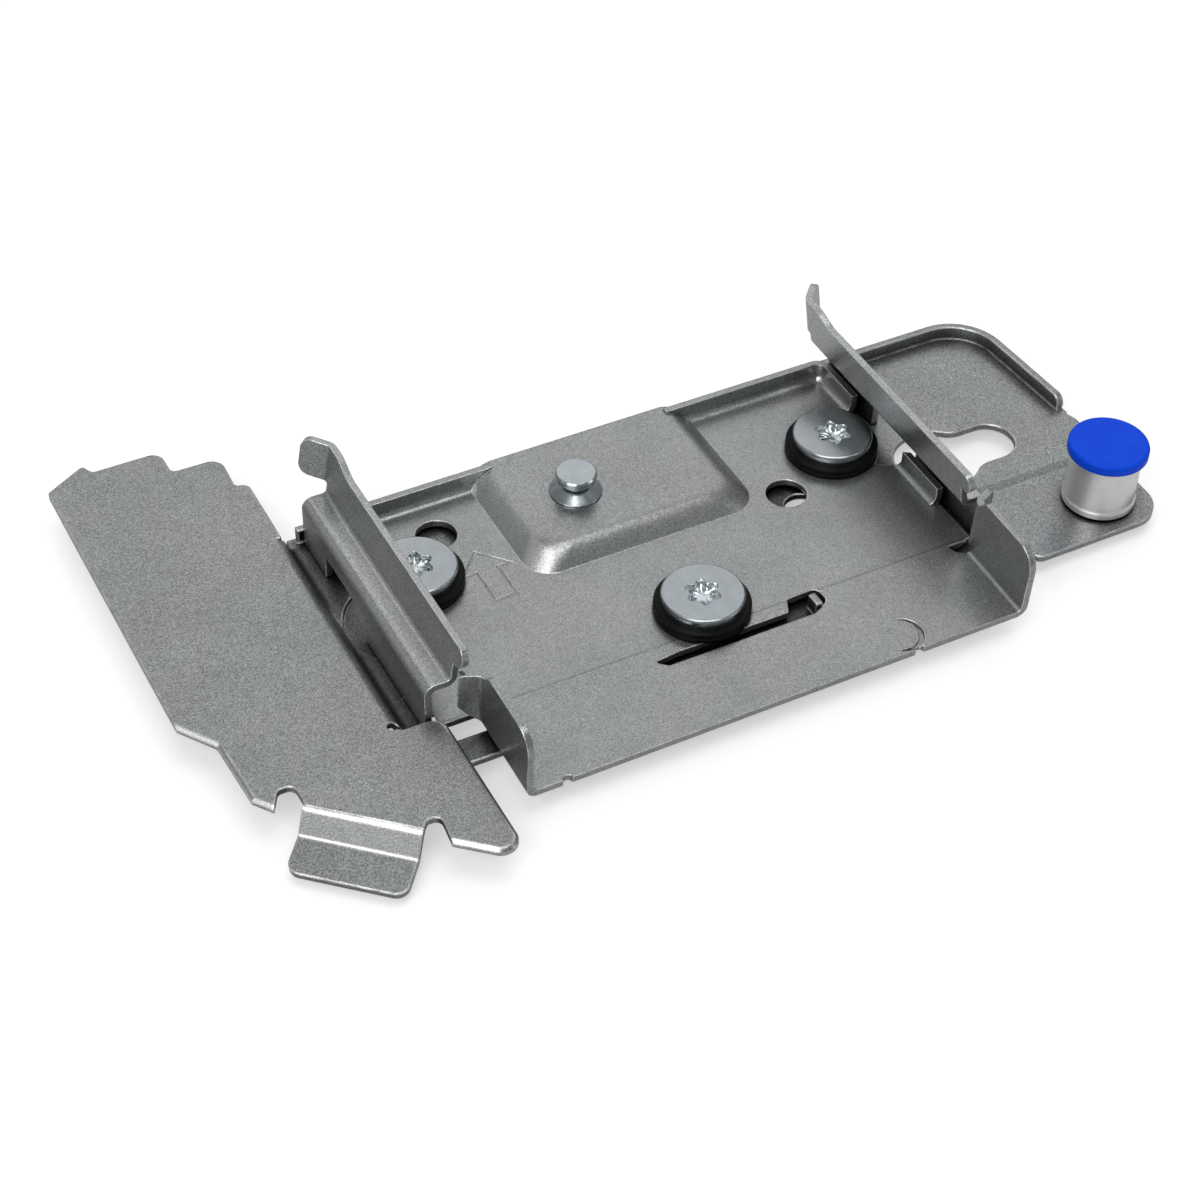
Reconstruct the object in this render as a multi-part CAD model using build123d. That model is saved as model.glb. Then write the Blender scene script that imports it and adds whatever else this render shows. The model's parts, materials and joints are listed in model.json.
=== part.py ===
from build123d import *
import math
import os

# Millimetres, +Z up.  Origin: axis of the middle shoulder screw on the top face of the deck plate.
# X runs along the bracket towards the plunger, Y towards the rear rim.

SHEET = 0.8              # thickness of all three folded steel sheets and of the rails
BEND_IN = 0.5            # inside radius of the tight bends
BEND_OUT = BEND_IN + SHEET

# Deck plate: the upper sheet, with its rims, raised platform and front tray.
DECK_HALF_X = 33.6       # outside of the side rims
DECK_REAR_Y = 30.0       # outside of the rear rim
DECK_BEND_Y = -3.0       # line where the tray starts to fall away
RIM_H = 2.2              # rims above the deck
RIM_BEND_IN = 1.0        # inside radius of these softer folds
RIM_FRONT_Y = 3.4        # front end of the side rims
RIM_GAP_Y0 = 10.4        # the side rims are left out beside the keyhole
RIM_GAP_Y1 = 22.0
REAR_RIM_X = 11.4        # inner ends of the two rear rims, beside the platform

PLAT_FOOT_X = 14.5       # half width of the raised platform at its foot
PLAT_TOP_X = 11.0        # half width on top
PLAT_FOOT_Y = 12.1       # front foot line
PLAT_TOP_Y = 15.2        # front edge of the top
PLAT_H = 2.0
PLAT_REAR_Y = 30.6       # it ends a little behind the rims
PLAT_R = 3.4             # corner radius in plan
PLAT_STEPS = 6           # sections of its drawn side

TRAY_X0 = 4.4 - DECK_HALF_X  # outside of the left tray wall
TRAY_X1 = DECK_HALF_X - 0.9  # outside of the right tray wall
TRAY_FRONT_Y = -15.5
TRAY_WALL_H = 8.3
TRAY_DROP_DEG = 2.0      # the tray falls towards its front edge
TRAY_WALL_Y1 = -5.2      # the walls turn outwards behind this line
EAR_STEP = 1.1           # the flared wall ends are lower than the walls
EAR_H0 = 0.9             # their lower and upper level
EAR_H1 = TRAY_WALL_H - EAR_STEP
EAR_REACH = 2.5          # how far the ends flare out
EAR_BACK = 1.9
NOTCH_X = (-26.2, 16.9)  # small notches in the front edge, from the middle of the tray
MARK_R = 2.3             # half-round mark in the floor of the tray
MARK = (18.0, -9.9)      # its centre, from the fold line
RELIEF_R = 1.7           # half-round relief at the rear end of the right tray wall

SIGHT_R = 2.4            # plain round holes in the deck
SIGHT_HOLES = ((12.4 - DECK_HALF_X, 23.75), (DECK_HALF_X - 15.4, 12.5))
ARROW_AT = (15.05 - DECK_HALF_X, 16.0)

# Base sheet: the lower sheet, with the keyhole end, the raised wing and the hooked tab.
GAP = 0.5                # air between the deck and the base
BASE_TOP = -(SHEET + GAP)
BASE_BOTTOM = BASE_TOP - SHEET
BASE_REACH = 24.1        # the keyhole end reaches this far past the deck
BASE_X1 = DECK_HALF_X + BASE_REACH
BASE_SLANT = 2.3         # the right edge runs in by this much from front to rear
BASE_FRONT_Y = -8.3
BASE_REAR_Y = 31.5       # outside of the base rim
BASE_RIM_TOP = 0.4
BASE_RIM_CORNER = 6.6
BASE_RIM_END_Y = 12.6
BASE_STEP_X = DECK_HALF_X + 5.7  # the plunger corner is set down by a shallow step
BASE_STEP_Y = 4.1
BASE_STEP = 0.3
APRON_X1 = BASE_STEP_X - 2.7  # relief notch between the apron and the plunger corner
APRON_NOTCH_Y = -4.6
BASE_SIGHT = (DECK_HALF_X - 14.0, 11.0)  # hole under the right sight hole, a little off its axis
BASE_SIGHT_R = 2.1
STOP_X = 11.5            # small stop that stands in the float slot
STOP_Y = (-5.3, -3.6)
STOP_TOP = 0.4

KEY_X = DECK_HALF_X + 4.7  # keyhole: round part, then the slot
KEY_Y = 11.2
KEY_R = 5.1
KEY_SLOT_X = KEY_X + 7.5
KEY_SLOT_R = 3.1
KEY_NECK_R = 3.0
PAD_X = 4.2 - DECK_HALF_X  # round pad, set down under the left rail
PAD_Y = 14.3
PAD_R = 6.8
PAD_DEPTH = 0.35

WING_TOP = 1.0
WING_BEND_X = -DECK_HALF_X - 3.6  # middle of the fold between the wing and the base
WING_LEAN = 0.3          # half the offset of the fold in plan
WING_FOLD_R = 1.3        # on the middle of the sheet
WING_FOLD_HALF = 1.4     # half width of the fold in plan
WING_W = 21.2            # width, from the fold to the left edge
WING_REAR_Y = 30.0
WING_END_Y = 51.2        # rear end of the lug
WING_FRONT_Y = -2.6
WING_RELIEF_R = 0.6
WORN = 0.4               # worn front edges of the wing and its tongue
BASE_X0 = WING_BEND_X + WING_FOLD_HALF
BASE_RIM_X0 = WING_BEND_X + 2.0  # left end of the base rim
TONGUE_X = 0.8 - DECK_HALF_X
TONGUE_Y = -24.5         # front end of the tongue
TONGUE_SHEAR = 5.5       # its end is cut at a slant
TAB_RUN = 1.9            # first leg of the tab: outwards and down
TAB_DROP = 2.6
TAB_REACH = 4.4          # second leg, nearly flat
TAB_FALL = 0.7
TAB_W = 12.7
TAB_MID = (WING_BEND_X - 8.55, -11.95)  # middle of the fold line of the tab
TAB_DEG = -41.5          # its direction in plan

# Rails: step section, one on each side, mirrored.
RAIL_MID_X = 0.45        # the two rails stand evenly about this line
RAIL_X = DECK_HALF_X + 1.45  # outside of the lower wall, from that line
RAIL_SHELF_TOP = 5.3
RAIL_SHELF_W = 2.9       # between the middles of the two walls
RAIL_WALL_H = 5.4
RAIL_LEAN_DEG = 9.0      # the upper walls lean over the deck
RAIL_R = 0.9             # bend radius on the middle of the sheet
RAIL_Y0 = -2.45
RAIL_Y1 = 30.3
RAIL_WINDOWS = {-1: (13.2, 24.0), 1: (10.7, 20.0)}  # gaps in the lower walls, from y to y
RAIL_WINDOW_Z = 2.0
TENON_Y = (1.6, 27.0)    # feet that stand in slots of the base
TENON_W = 3.0
RAIL_NOSE_Y = -4.2       # the upper walls reach over the ears of the tray
RAIL_NOSE_Z = 7.7
RAIL_RISE = 1.0          # their rear ends stand higher
RAIL_RISE_Y0 = 25.0
RAIL_RISE_Y1 = 29.5
FLARE_Y = 31.0           # fold of the flared rear end
FLARE_DEG = 45.0
FLARE_LEN = 3.5
FLARE_R = 1.3

# Shoulder screws, rubber grommets and clinch nuts.
SCREWS = (("left", 7.2 - DECK_HALF_X, 17.8), ("centre", 0.0, 0.0), ("right", DECK_HALF_X - 6.6, 17.0))
HEAD_R = 4.7
HEAD_H = 1.2
SHOULDER_R = 2.5
THREAD_R = 1.45
THREAD_END = 1.9         # thread below the base top
LOBE_R = 1.95            # six-lobe recess over its points
LOBE_DEPTH = 0.8
GROMMET_R = 5.45
GROMMET_H = 1.4          # above the deck
GROMMET_NECK_R = 3.95
GROMMET_FOOT_R = 5.2
HOLE_CLEAR = 0.05        # radial clearance of necks, shoulders and running shafts
NUT_R = 3.0
NUT_PILOT_R = 2.3
NUT_H = 1.5              # below the base sheet

# Guide stud on the platform.
STUD_X = -4.6
STUD_Y = 21.6
STUD_COLLAR_R = 3.0
STUD_NECK_R = 1.45
STUD_HEAD_R = 2.4
STUD_H = 2.9
STUD_HEAD_T = 0.85

# Spring plunger in the corner of the base.
PLUNGER_X = BASE_X1 - 6.0
PLUNGER_Y = -2.7
KNOB_R = 4.6
KNOB_BORE_R = 3.7
KNOB_TOP = 5.8
KNOB_WEB = 1.0
CAP_H = 1.2
CAP_R = KNOB_R + 0.1
FERRULE_R = 3.2
FERRULE_BORE_R = 2.45
FERRULE_TOP = 4.2
FERRULE_LID = 0.6
SEAT_R = 2.6             # ferrule shank in the sheet
PIN_R = 1.7              # guided shank
PIN_TIP_R = 1.5          # the tip is a little thinner
PIN_TIP_L = 0.7          # straight part of the tip
PIN_COLLAR_R = FERRULE_BORE_R - 2 * HOLE_CLEAR
PIN_COLLAR_H = 0.8
PIN_STEM_R = 1.0
PIN_REACH = 2.1          # tip below the underside of the base sheet
PIN_TIP_Z = BASE_BOTTOM - PIN_REACH
PIN_NOSE = 0.4
FERRULE_LIP = 0.3        # turned over under the base sheet
SPRING_WIRE = 0.36
SPRING_TURNS = 3.5


def block(x0, x1, y0, y1, z0, z1):
    return Pos((x0 + x1) / 2, (y0 + y1) / 2, (z0 + z1) / 2) * Box(x1 - x0, y1 - y0, z1 - z0)


def drum(x, y, r, z0, z1):
    return Pos(x, y, (z0 + z1) / 2) * Cylinder(r, z1 - z0)


def slab(points, z0, z1):
    """Flat sheet with the given outline."""
    return extrude(Pos(0, 0, z0) * make_face(Polyline(*points, close=True)), z1 - z0)


def rounded(corners):
    """Flat face from corners given as (x, y, radius)."""
    arcs, ends = [], []
    for k, (x, y, radius) in enumerate(corners):
        corner = Vector(x, y)
        back = (Vector(*corners[k - 1][:2]) - corner).normalized()
        ahead = (Vector(*corners[(k + 1) % len(corners)][:2]) - corner).normalized()
        half = math.radians(back.get_angle(ahead)) / 2
        start = corner + back * (radius / math.tan(half))
        end = corner + ahead * (radius / math.tan(half))
        ends.append((start, end))
        if radius:
            inward = (back + ahead).normalized()
            arcs.append(ThreePointArc(start, corner + inward * (radius / math.sin(half) - radius), end))
    sides = [Line(ends[k - 1][1], ends[k][0]) for k in range(len(ends))]
    return make_face(arcs + sides)


def turned(x, y, points):
    """Solid of revolution about the vertical line through (x, y); points are (radius, height)."""
    face = Plane.XZ * make_face(Polyline(*points, close=True))
    return Pos(x, y, 0) * revolve(face, Axis.Z)


def strip(points, radius, y0, y1):
    """Sheet of even thickness folded along (x, z) points and running from y0 to y1."""
    face = Plane.XZ * trace(FilletPolyline(*points, radius=radius), SHEET)
    length = y1 - y0
    return Pos(0, y1, 0) * extrude(face, length, dir=(0, -1, 0))


def pan(x0, x1, y0, y1, top, bend):
    """Sheet floor with upturned left, right and rear sides; the front stays open."""
    run = 4 * BEND_OUT
    outer = block(x0, x1, y0 - run, y1, -SHEET, top)
    low = outer.edges().group_by(Axis.Z)[0]
    rear = outer.edges().filter_by(Axis.Z).group_by(Axis.Y)[-1]
    sides = low.filter_by(Axis.Y) + low.filter_by(Axis.X).group_by(Axis.Y)[-1]
    outer = fillet(rear + sides, bend + SHEET)
    inner = block(x0 + SHEET, x1 - SHEET, y0 - 2 * run, y1 - SHEET, 0, top + 1)
    low = inner.edges().group_by(Axis.Z)[0]
    rear = inner.edges().filter_by(Axis.Z).group_by(Axis.Y)[-1]
    sides = low.filter_by(Axis.Y) + low.filter_by(Axis.X).group_by(Axis.Y)[-1]
    inner = fillet(rear + sides, bend)
    return outer - inner - block(x0 - 1, x1 + 1, y0 - 3 * run, y0, -SHEET - 1, top + 1)


def platform(lift):
    """Drawn field with a crisp foot and a soft crest; it runs out over the rear edge of the deck."""
    beyond = PLAT_REAR_Y + 2 * PLAT_R
    sections = []
    for k in range(PLAT_STEPS + 1):
        run = k / PLAT_STEPS
        rise = math.sin(run * math.pi / 2)
        half = PLAT_FOOT_X + run * (PLAT_TOP_X - PLAT_FOOT_X)
        front = PLAT_FOOT_Y + run * (PLAT_TOP_Y - PLAT_FOOT_Y)
        outline = RectangleRounded(2 * half, beyond - front, PLAT_R)
        sections.append(Pos(0, (front + beyond) / 2, lift + rise * PLAT_H) * outline)
    wide = PLAT_FOOT_X + 1
    return loft(sections) - block(-wide, wide, PLAT_REAR_Y, beyond + 1, lift - 1, lift + PLAT_H + 1)


def ear(x, side):
    """Outward flared end of a tray wall; x is the outside of the wall."""
    mid = x - side * SHEET / 2
    path = ((mid, TRAY_WALL_Y1 - 0.6), (mid, TRAY_WALL_Y1 + 0.7),
            (mid + side * EAR_REACH, TRAY_WALL_Y1 + EAR_BACK))
    sheet = extrude(trace(FilletPolyline(*path, radius=1.0), SHEET), EAR_H1)
    reach = x + side * (EAR_REACH + 0.4)
    outline = ((x - side * 3, EAR_H0 - 0.6, 0), (x, EAR_H0 - 0.6, 0), (x + side * 1.4, EAR_H0 + 0.5, 0.8),
               (reach, EAR_H0 + 2.4, 1.5), (reach, EAR_H1, 1.6), (x - side * 3, EAR_H1, 0))
    keep = Plane.XZ * rounded(outline)
    return sheet & (Pos(0, 2, 0) * extrude(keep, 20, dir=(0, -1, 0)))


def tray():
    """Front tray with two side walls, folded slightly down from the deck."""
    mid = (TRAY_X0 + TRAY_X1) / 2
    body = pan(TRAY_X0, TRAY_X1, TRAY_FRONT_Y - DECK_BEND_Y, 12, TRAY_WALL_H, BEND_IN)
    body -= block(TRAY_X0 - 1, TRAY_X1 + 1, TRAY_WALL_Y1 - DECK_BEND_Y, 13, 0, TRAY_WALL_H + 1)
    body -= block(TRAY_X0 - 1, TRAY_X1 + 1, 0.4, 13, -SHEET - 1, 1)
    nose = [e for e in body.edges().filter_by(Axis.X) if e.center().Z > TRAY_WALL_H - 0.1
            and e.center().Y < TRAY_FRONT_Y - DECK_BEND_Y + 0.1]
    body = fillet(nose, 2.6)
    shoulder = [e for e in body.edges().filter_by(Axis.X) if e.center().Z > TRAY_WALL_H - 0.1]
    body = chamfer(shoulder, EAR_STEP)
    lift = Pos(0, -DECK_BEND_Y, 0)
    body += lift * ear(TRAY_X0, -1)
    body += lift * ear(TRAY_X1, 1)
    for x in NOTCH_X:
        body -= drum(mid + x, TRAY_FRONT_Y - DECK_BEND_Y, 0.55, -SHEET - 1, 1)
    groove = trace(CenterArc((*MARK, 0), MARK_R, -70, 140), 0.25)
    body -= Pos(0, 0, -0.1) * extrude(groove, 1)
    deep = Pos(*MARK) * (Circle(MARK_R + 0.1) - Pos(-0.5, 0.35) * Circle(MARK_R + 0.1))
    body -= Pos(0, 0, -0.3) * extrude(deep, 1)
    return Pos(0, DECK_BEND_Y, 0) * Rot(TRAY_DROP_DEG, 0, 0) * body


def float_slot():
    """Slot across the tray fold, in front of the middle screw."""
    y = DECK_BEND_Y
    outline = ((-8.6, y - 1.9, 0.2), (-7.4, y - 3.0, 0.6), (11.0, y - 3.0, 0), (13.2, y - 1.8, 0.9),
               (13.1, y + 0.3, 0.9), (9.2, y + 0.2, 0.5), (8.4, y - 1.6, 0.4), (-5.4, y - 1.6, 0))
    return Pos(0, 0, -3) * extrude(rounded(outline), 5)


def arrow():
    """Shallow engraved outline of a plain arrow pointing to the rear."""
    x, y = ARROW_AT
    points = ((x, y + 3.2), (x + 3.0, y), (x + 1.3, y), (x + 1.3, y - 4.8), (x - 1.3, y - 4.8),
              (x - 1.3, y), (x - 3.0, y), (x, y + 3.2))
    return Pos(0, 0, -0.1) * extrude(trace(Polyline(*points), 0.3), 1)


def deck_plate():
    fold = RIM_BEND_IN + SHEET
    rim = pan(-DECK_HALF_X, DECK_HALF_X, DECK_BEND_Y - 0.2, DECK_REAR_Y, RIM_H, RIM_BEND_IN)
    rim -= block(-REAR_RIM_X, REAR_RIM_X, DECK_REAR_Y - fold, DECK_REAR_Y + 1, 0, RIM_H + 1)
    for side in (-1, 1):
        x0, x1 = sorted((side * (DECK_HALF_X - fold), side * (DECK_HALF_X + 1)))
        rim -= block(x0, x1, DECK_BEND_Y - 1, RIM_FRONT_Y, 0, RIM_H + 1)
        near = side * (DECK_HALF_X - 4)
        far = side * (DECK_HALF_X + 1)
        gap = slab(((near, RIM_GAP_Y0 + 2.5), (far, RIM_GAP_Y0 - 0.8), (far, RIM_GAP_Y1), (near, RIM_GAP_Y1)),
                   -SHEET - 1, RIM_H + 1)
        keep = SCREWS[0] if side < 0 else SCREWS[2]
        rim -= gap - drum(keep[1], keep[2], GROMMET_R + 0.15, -SHEET - 2, 0)
    body = rim + platform(0) - platform(-SHEET) + tray()
    for x, y in SIGHT_HOLES:
        body -= drum(x, y, SIGHT_R, -3, 3)
    for _, x, y in SCREWS:
        body -= drum(x, y, GROMMET_NECK_R + HOLE_CLEAR, -3, 3)
        body -= drum(x, y, GROMMET_FOOT_R + 0.1, -3, -SHEET)
    body -= drum(STUD_X, STUD_Y, STUD_NECK_R + 0.15, -3, PLAT_H + 3)
    body -= float_slot() + arrow()
    relief = drum(TRAY_X1 - 0.9, DECK_BEND_Y - 0.4, RELIEF_R, -3, 0.6)
    body -= relief - block(TRAY_X1 - 4, TRAY_X1 + 2, DECK_BEND_Y - 0.4, DECK_BEND_Y + 3, -4, 1)
    return body


def wing():
    """Raised flat plate on the left, with its front tongue and worn front edges."""
    w = WING_BEND_X
    edge = w - WING_FOLD_HALF
    front = WING_FRONT_Y
    left = w - WING_W
    end = WING_END_Y
    outline = ((left, end - 2.8, 0.5), (left + 5.0, end, 0.4), (left + 5.7, end - 1.5, 0.8),
               (w - 7.35, end - 1.5, 1.5), (w - 7.3, end - 5.45, 0.7), (w - 1.4, end - 5.5, 1.7),
               (w - 1.65, end - 10.9, 0.6), (w - 0.15, end - 11.1, 1.1), (w - 0.2, WING_REAR_Y, 0),
               (edge, WING_REAR_Y, 0), (edge, front + WING_RELIEF_R, 0), (w - WING_RELIEF_R, front, 0),
               (TONGUE_X, front, 1.9), (TONGUE_X, TONGUE_Y, 1.8), (w - 2.0, TONGUE_Y + TONGUE_SHEAR, 0),
               (w - 1.6, -15.3, 0.8), (w - 3.6, -15.3, 0.5), (w - 3.8, -16.3, 0), (w - 13.2, -8.1, 0),
               (w - 13.2, -5.0, 0.9), (w - 15.0, -5.0, 0.7), (w - 16.2, -7.1, 0), (left + 3.4, -5.0, 0.5),
               (left + 3.0, 3.6, 0.6), (left + 0.1, 7.7, 0))
    body = Pos(0, 0, WING_TOP - SHEET) * extrude(rounded(outline), SHEET)
    rim = body.edges().group_by(Axis.Z)[-1]
    worn = [e for e in rim if e.center().X < left + 4.4 and e.center().Y < 7.6]
    worn += [e for e in rim if e.center().X > w - 1.5 and e.center().Y < -19.5 and e.length > 3]
    return chamfer(worn, WORN)


def hook_tab():
    """Tab folded down from the front edge of the wing, with a flatter end."""
    mid = SHEET / 2
    path = ((1.6, WING_TOP - mid), (0, WING_TOP - mid), (-TAB_RUN, WING_TOP - mid - TAB_DROP),
            (-TAB_RUN - TAB_REACH, WING_TOP - mid - TAB_DROP - TAB_FALL))
    sheet = strip(path, 0.9, -TAB_W / 2, TAB_W / 2)
    corners = [e for e in sheet.edges() if e.length < 1.01 * SHEET and e.center().X < -TAB_RUN - 2]
    sheet = fillet(corners, 1.4)
    return Pos(*TAB_MID, 0) * Rot(0, 0, TAB_DEG + 90) * sheet


def rimmed(inset, z0, z1):
    """Base outline pulled in by inset, with its rounded rear corner; the right edge is slanted."""
    front = BASE_X1 + 0.7 - inset
    rear = front - BASE_SLANT
    body = slab(((BASE_X0 - 0.5 - inset, -inset), (front, -inset), (rear, BASE_REAR_Y - inset),
                 (BASE_X0 - 0.5 - inset, BASE_REAR_Y - inset)), z0, z1)
    corner = body.edges().filter_by(Axis.Z).sort_by(lambda e: e.center().X + e.center().Y)[-1]
    return fillet(corner, BASE_RIM_CORNER - inset)


def base_floor():
    """Flat of the base sheet with its rear rim, which runs round the right corner."""
    outer = rimmed(0, BASE_BOTTOM, BASE_RIM_TOP)
    low = [e for e in outer.faces().sort_by(Axis.Z)[0].edges()
           if e.center().Y > 1 and e.center().X > BASE_X0 + 1]
    outer = fillet(low, BEND_OUT)
    rim = outer - rimmed(SHEET, BASE_TOP, BASE_RIM_TOP + 1)
    rim -= block(BASE_X1 - 6, BASE_X1 + 2, -2, BASE_RIM_END_Y, BASE_TOP, BASE_RIM_TOP + 1)
    nose = [e for e in rim.edges()
            if e.center().Z > BASE_RIM_TOP - 0.1 and e.center().Y < BASE_RIM_END_Y + 0.1]
    rim = fillet(nose, 1.2)
    rim -= block(-REAR_RIM_X, REAR_RIM_X, BASE_REAR_Y - BEND_OUT - 0.5, BASE_REAR_Y + 1, BASE_BOTTOM - 1, 2)
    rim -= block(BASE_X1 - 1.2, BASE_X1 + 2, -1, BASE_RIM_END_Y - 1.0, BASE_BOTTOM - 1, BASE_RIM_TOP + 1)
    rear = BASE_REAR_Y - 2 * BEND_OUT
    rim -= block(BASE_X0 - 2, BASE_RIM_X0, rear, BASE_REAR_Y + 1, BASE_BOTTOM - 1, BASE_RIM_TOP + 1)
    rim += block(BASE_X0 - 0.5, BASE_RIM_X0, rear, BASE_REAR_Y, BASE_BOTTOM, BASE_TOP)
    apron = slab(((TONGUE_X + 0.5, BASE_FRONT_Y), (APRON_X1, BASE_FRONT_Y), (APRON_X1, APRON_NOTCH_Y),
                  (BASE_STEP_X + 0.2, APRON_NOTCH_Y), (BASE_STEP_X + 0.2, 1.0), (TONGUE_X + 0.5, 1.0)),
                 BASE_BOTTOM, BASE_TOP)
    edge = slab(((BASE_X1 - 3, BASE_RIM_END_Y - 0.4), (BASE_X1 - 0.6, BASE_RIM_END_Y - 0.8),
                 (BASE_X1, BASE_RIM_END_Y - 2.4), (BASE_X1, BASE_STEP_Y), (BASE_X1 - 3, BASE_STEP_Y)),
                BASE_BOTTOM, BASE_TOP)
    return rim + apron + edge


def plunger_corner():
    """Corner of the base that is set down by a shallow step."""
    mid = (BASE_TOP + BASE_BOTTOM) / 2
    y = BASE_STEP_Y
    face = Plane.YZ * trace(Polyline((BASE_FRONT_Y, mid - BASE_STEP), (y - 0.6, mid - BASE_STEP),
                                     (y + 0.6, mid), (y + 1.2, mid)), SHEET)
    sheet = Pos(BASE_STEP_X, 0, 0) * extrude(face, BASE_X1 - BASE_STEP_X, dir=(1, 0, 0))
    front = sheet.edges().filter_by(Axis.Z).group_by(Axis.Y)[0].sort_by(Axis.X)
    sheet = fillet(front[-1], 4.0)
    front = sheet.edges().filter_by(Axis.Z).group_by(Axis.Y)[0].sort_by(Axis.X)
    return fillet(front[0], 1.2)


def keyhole():
    round_part = drum(KEY_X, KEY_Y, KEY_R, BASE_BOTTOM - 2, BASE_TOP + 0.5)
    slot = block(KEY_X, KEY_SLOT_X, KEY_Y - KEY_SLOT_R, KEY_Y + KEY_SLOT_R, BASE_BOTTOM - 2, BASE_TOP + 0.5)
    body = round_part + slot
    neck = [e for e in body.edges().filter_by(Axis.Z) if KEY_X + 1 < e.center().X < KEY_SLOT_X - 0.5]
    body = fillet(neck, KEY_NECK_R)
    return body + drum(KEY_SLOT_X, KEY_Y, KEY_SLOT_R, BASE_BOTTOM - 2, BASE_TOP + 0.5)


def pad(z0, z1):
    """Round field that is set down, apart from the seat of the left screw."""
    _, x, y = SCREWS[0]
    return drum(PAD_X, PAD_Y, PAD_R, z0, z1) - drum(x, y, GROMMET_FOOT_R + 0.3, z0 - 1, z1 + 1)


def tenons(side, clear):
    """Feet of one rail, or with a clearance the slots for them."""
    x0, x1 = sorted((RAIL_MID_X + side * (RAIL_X - SHEET - clear), RAIL_MID_X + side * (RAIL_X + clear)))
    half = TENON_W / 2 + clear
    front, rear = TENON_Y
    return block(x0, x1, front - half, front + half, BASE_BOTTOM, BASE_TOP) + block(
        x0, x1, rear - half, rear + half, BASE_BOTTOM, BASE_TOP)


def base_plate():
    mid = SHEET / 2
    run = 2 * WING_FOLD_HALF
    fold = strip(((WING_BEND_X - run, WING_TOP - mid), (WING_BEND_X - WING_LEAN, WING_TOP - mid),
                  (WING_BEND_X + WING_LEAN, BASE_TOP - mid), (WING_BEND_X + run, BASE_TOP - mid)),
                 WING_FOLD_R, WING_FRONT_Y + WING_RELIEF_R, WING_REAR_Y)
    floor = base_floor()
    under = BASE_BOTTOM - 1
    over = BASE_TOP + 1
    floor -= block(BASE_STEP_X, BASE_X1 + 1, 3 * BASE_FRONT_Y, BASE_STEP_Y + 0.6, under, over)
    body = floor + plunger_corner() + fold + wing() + hook_tab()
    body -= keyhole()
    body -= pad(BASE_TOP - PAD_DEPTH, BASE_TOP + 0.3)
    body += pad(BASE_BOTTOM - PAD_DEPTH, BASE_BOTTOM)
    notch = TONGUE_X + mid
    body -= block(notch, TRAY_X0 + 2.8, BASE_FRONT_Y + 3.4, -0.6, under, BASE_TOP + 0.2)
    body -= block(BASE_X0 - 3, notch + 0.1, BASE_FRONT_Y - 1, WING_FRONT_Y + 0.3, under, BASE_TOP + 0.2)
    for _, x, y in SCREWS:
        body -= drum(x, y, NUT_PILOT_R, under, over)
    body -= drum(*BASE_SIGHT, BASE_SIGHT_R, under, over)
    body -= drum(PLUNGER_X, PLUNGER_Y, SEAT_R, under - 1, over)
    body += block(STOP_X, STOP_X + SHEET, *STOP_Y, BASE_TOP - 0.1, STOP_TOP)
    relief = WING_RELIEF_R
    body -= drum(WING_BEND_X - 1.5 * relief, WING_FRONT_Y + relief, relief, BASE_BOTTOM, WING_TOP + 1)
    return body - tenons(-1, HOLE_CLEAR) - tenons(1, HOLE_CLEAR)


def rail(side):
    """Step section rail; side is -1 for the left one, 1 for the right one."""
    mid = SHEET / 2
    wall = RAIL_X - mid
    shelf = RAIL_SHELF_TOP - mid
    lean = math.radians(RAIL_LEAN_DEG)
    inner = wall - RAIL_SHELF_W
    top = (inner - RAIL_WALL_H * math.sin(lean), shelf + RAIL_WALL_H * math.cos(lean))
    path = ((wall, BASE_TOP), (wall, shelf), (inner, shelf), top)
    body = strip(path, RAIL_R, RAIL_Y0, RAIL_Y1)
    turn = math.radians(FLARE_DEG)
    flare_path = ((0, RAIL_RISE_Y0 - 1), (0, FLARE_Y),
                  (FLARE_LEN * math.sin(turn), FLARE_Y + FLARE_LEN * math.cos(turn)))
    high = RAIL_WALL_H + RAIL_RISE
    flare = Pos(0, 0, 1.6) * extrude(trace(FilletPolyline(*flare_path, radius=1.0), SHEET), high - 1.6)
    tips = [e for e in flare.edges() if e.length < 1.01 * SHEET and e.center().Y > FLARE_Y + FLARE_LEN / 2]
    flare = fillet(tips, FLARE_R)
    y0, y1 = RAIL_RISE_Y0, RAIL_RISE_Y1
    over = Spline((y0, RAIL_WALL_H), (y1, high), tangents=((1, 0), (1, 0)))
    over += Polyline((y1, high), (y1, high + 1), (y0 - 2, high + 1), (y0 - 2, RAIL_WALL_H),
                     (y0, RAIL_WALL_H))
    flare -= Pos(-3, 0, 0) * extrude(Plane.YZ * make_face(over), 6, dir=(1, 0, 0))
    body += Pos(inner, 0, shelf) * Rot(0, -RAIL_LEAN_DEG, 0) * flare
    rise = (RAIL_NOSE_Z - shelf) / math.cos(lean)
    reach = block(-mid, mid, RAIL_NOSE_Y, RAIL_Y0 + 1, rise, RAIL_WALL_H)
    body += Pos(inner, 0, shelf) * Rot(0, -RAIL_LEAN_DEG, 0) * reach
    nose = [e for e in body.edges() if e.length < 1.01 * SHEET and e.center().Y < RAIL_NOSE_Y + 0.1]
    body = fillet(nose, 1.2)
    body -= block(RAIL_X - 3, RAIL_X + 4, *RAIL_WINDOWS[side], BASE_TOP - 1, RAIL_WINDOW_Z)
    placed = Pos(RAIL_MID_X, 0, 0) * (body if side > 0 else mirror(body, Plane.YZ))
    return placed + tenons(side, 0)


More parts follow.
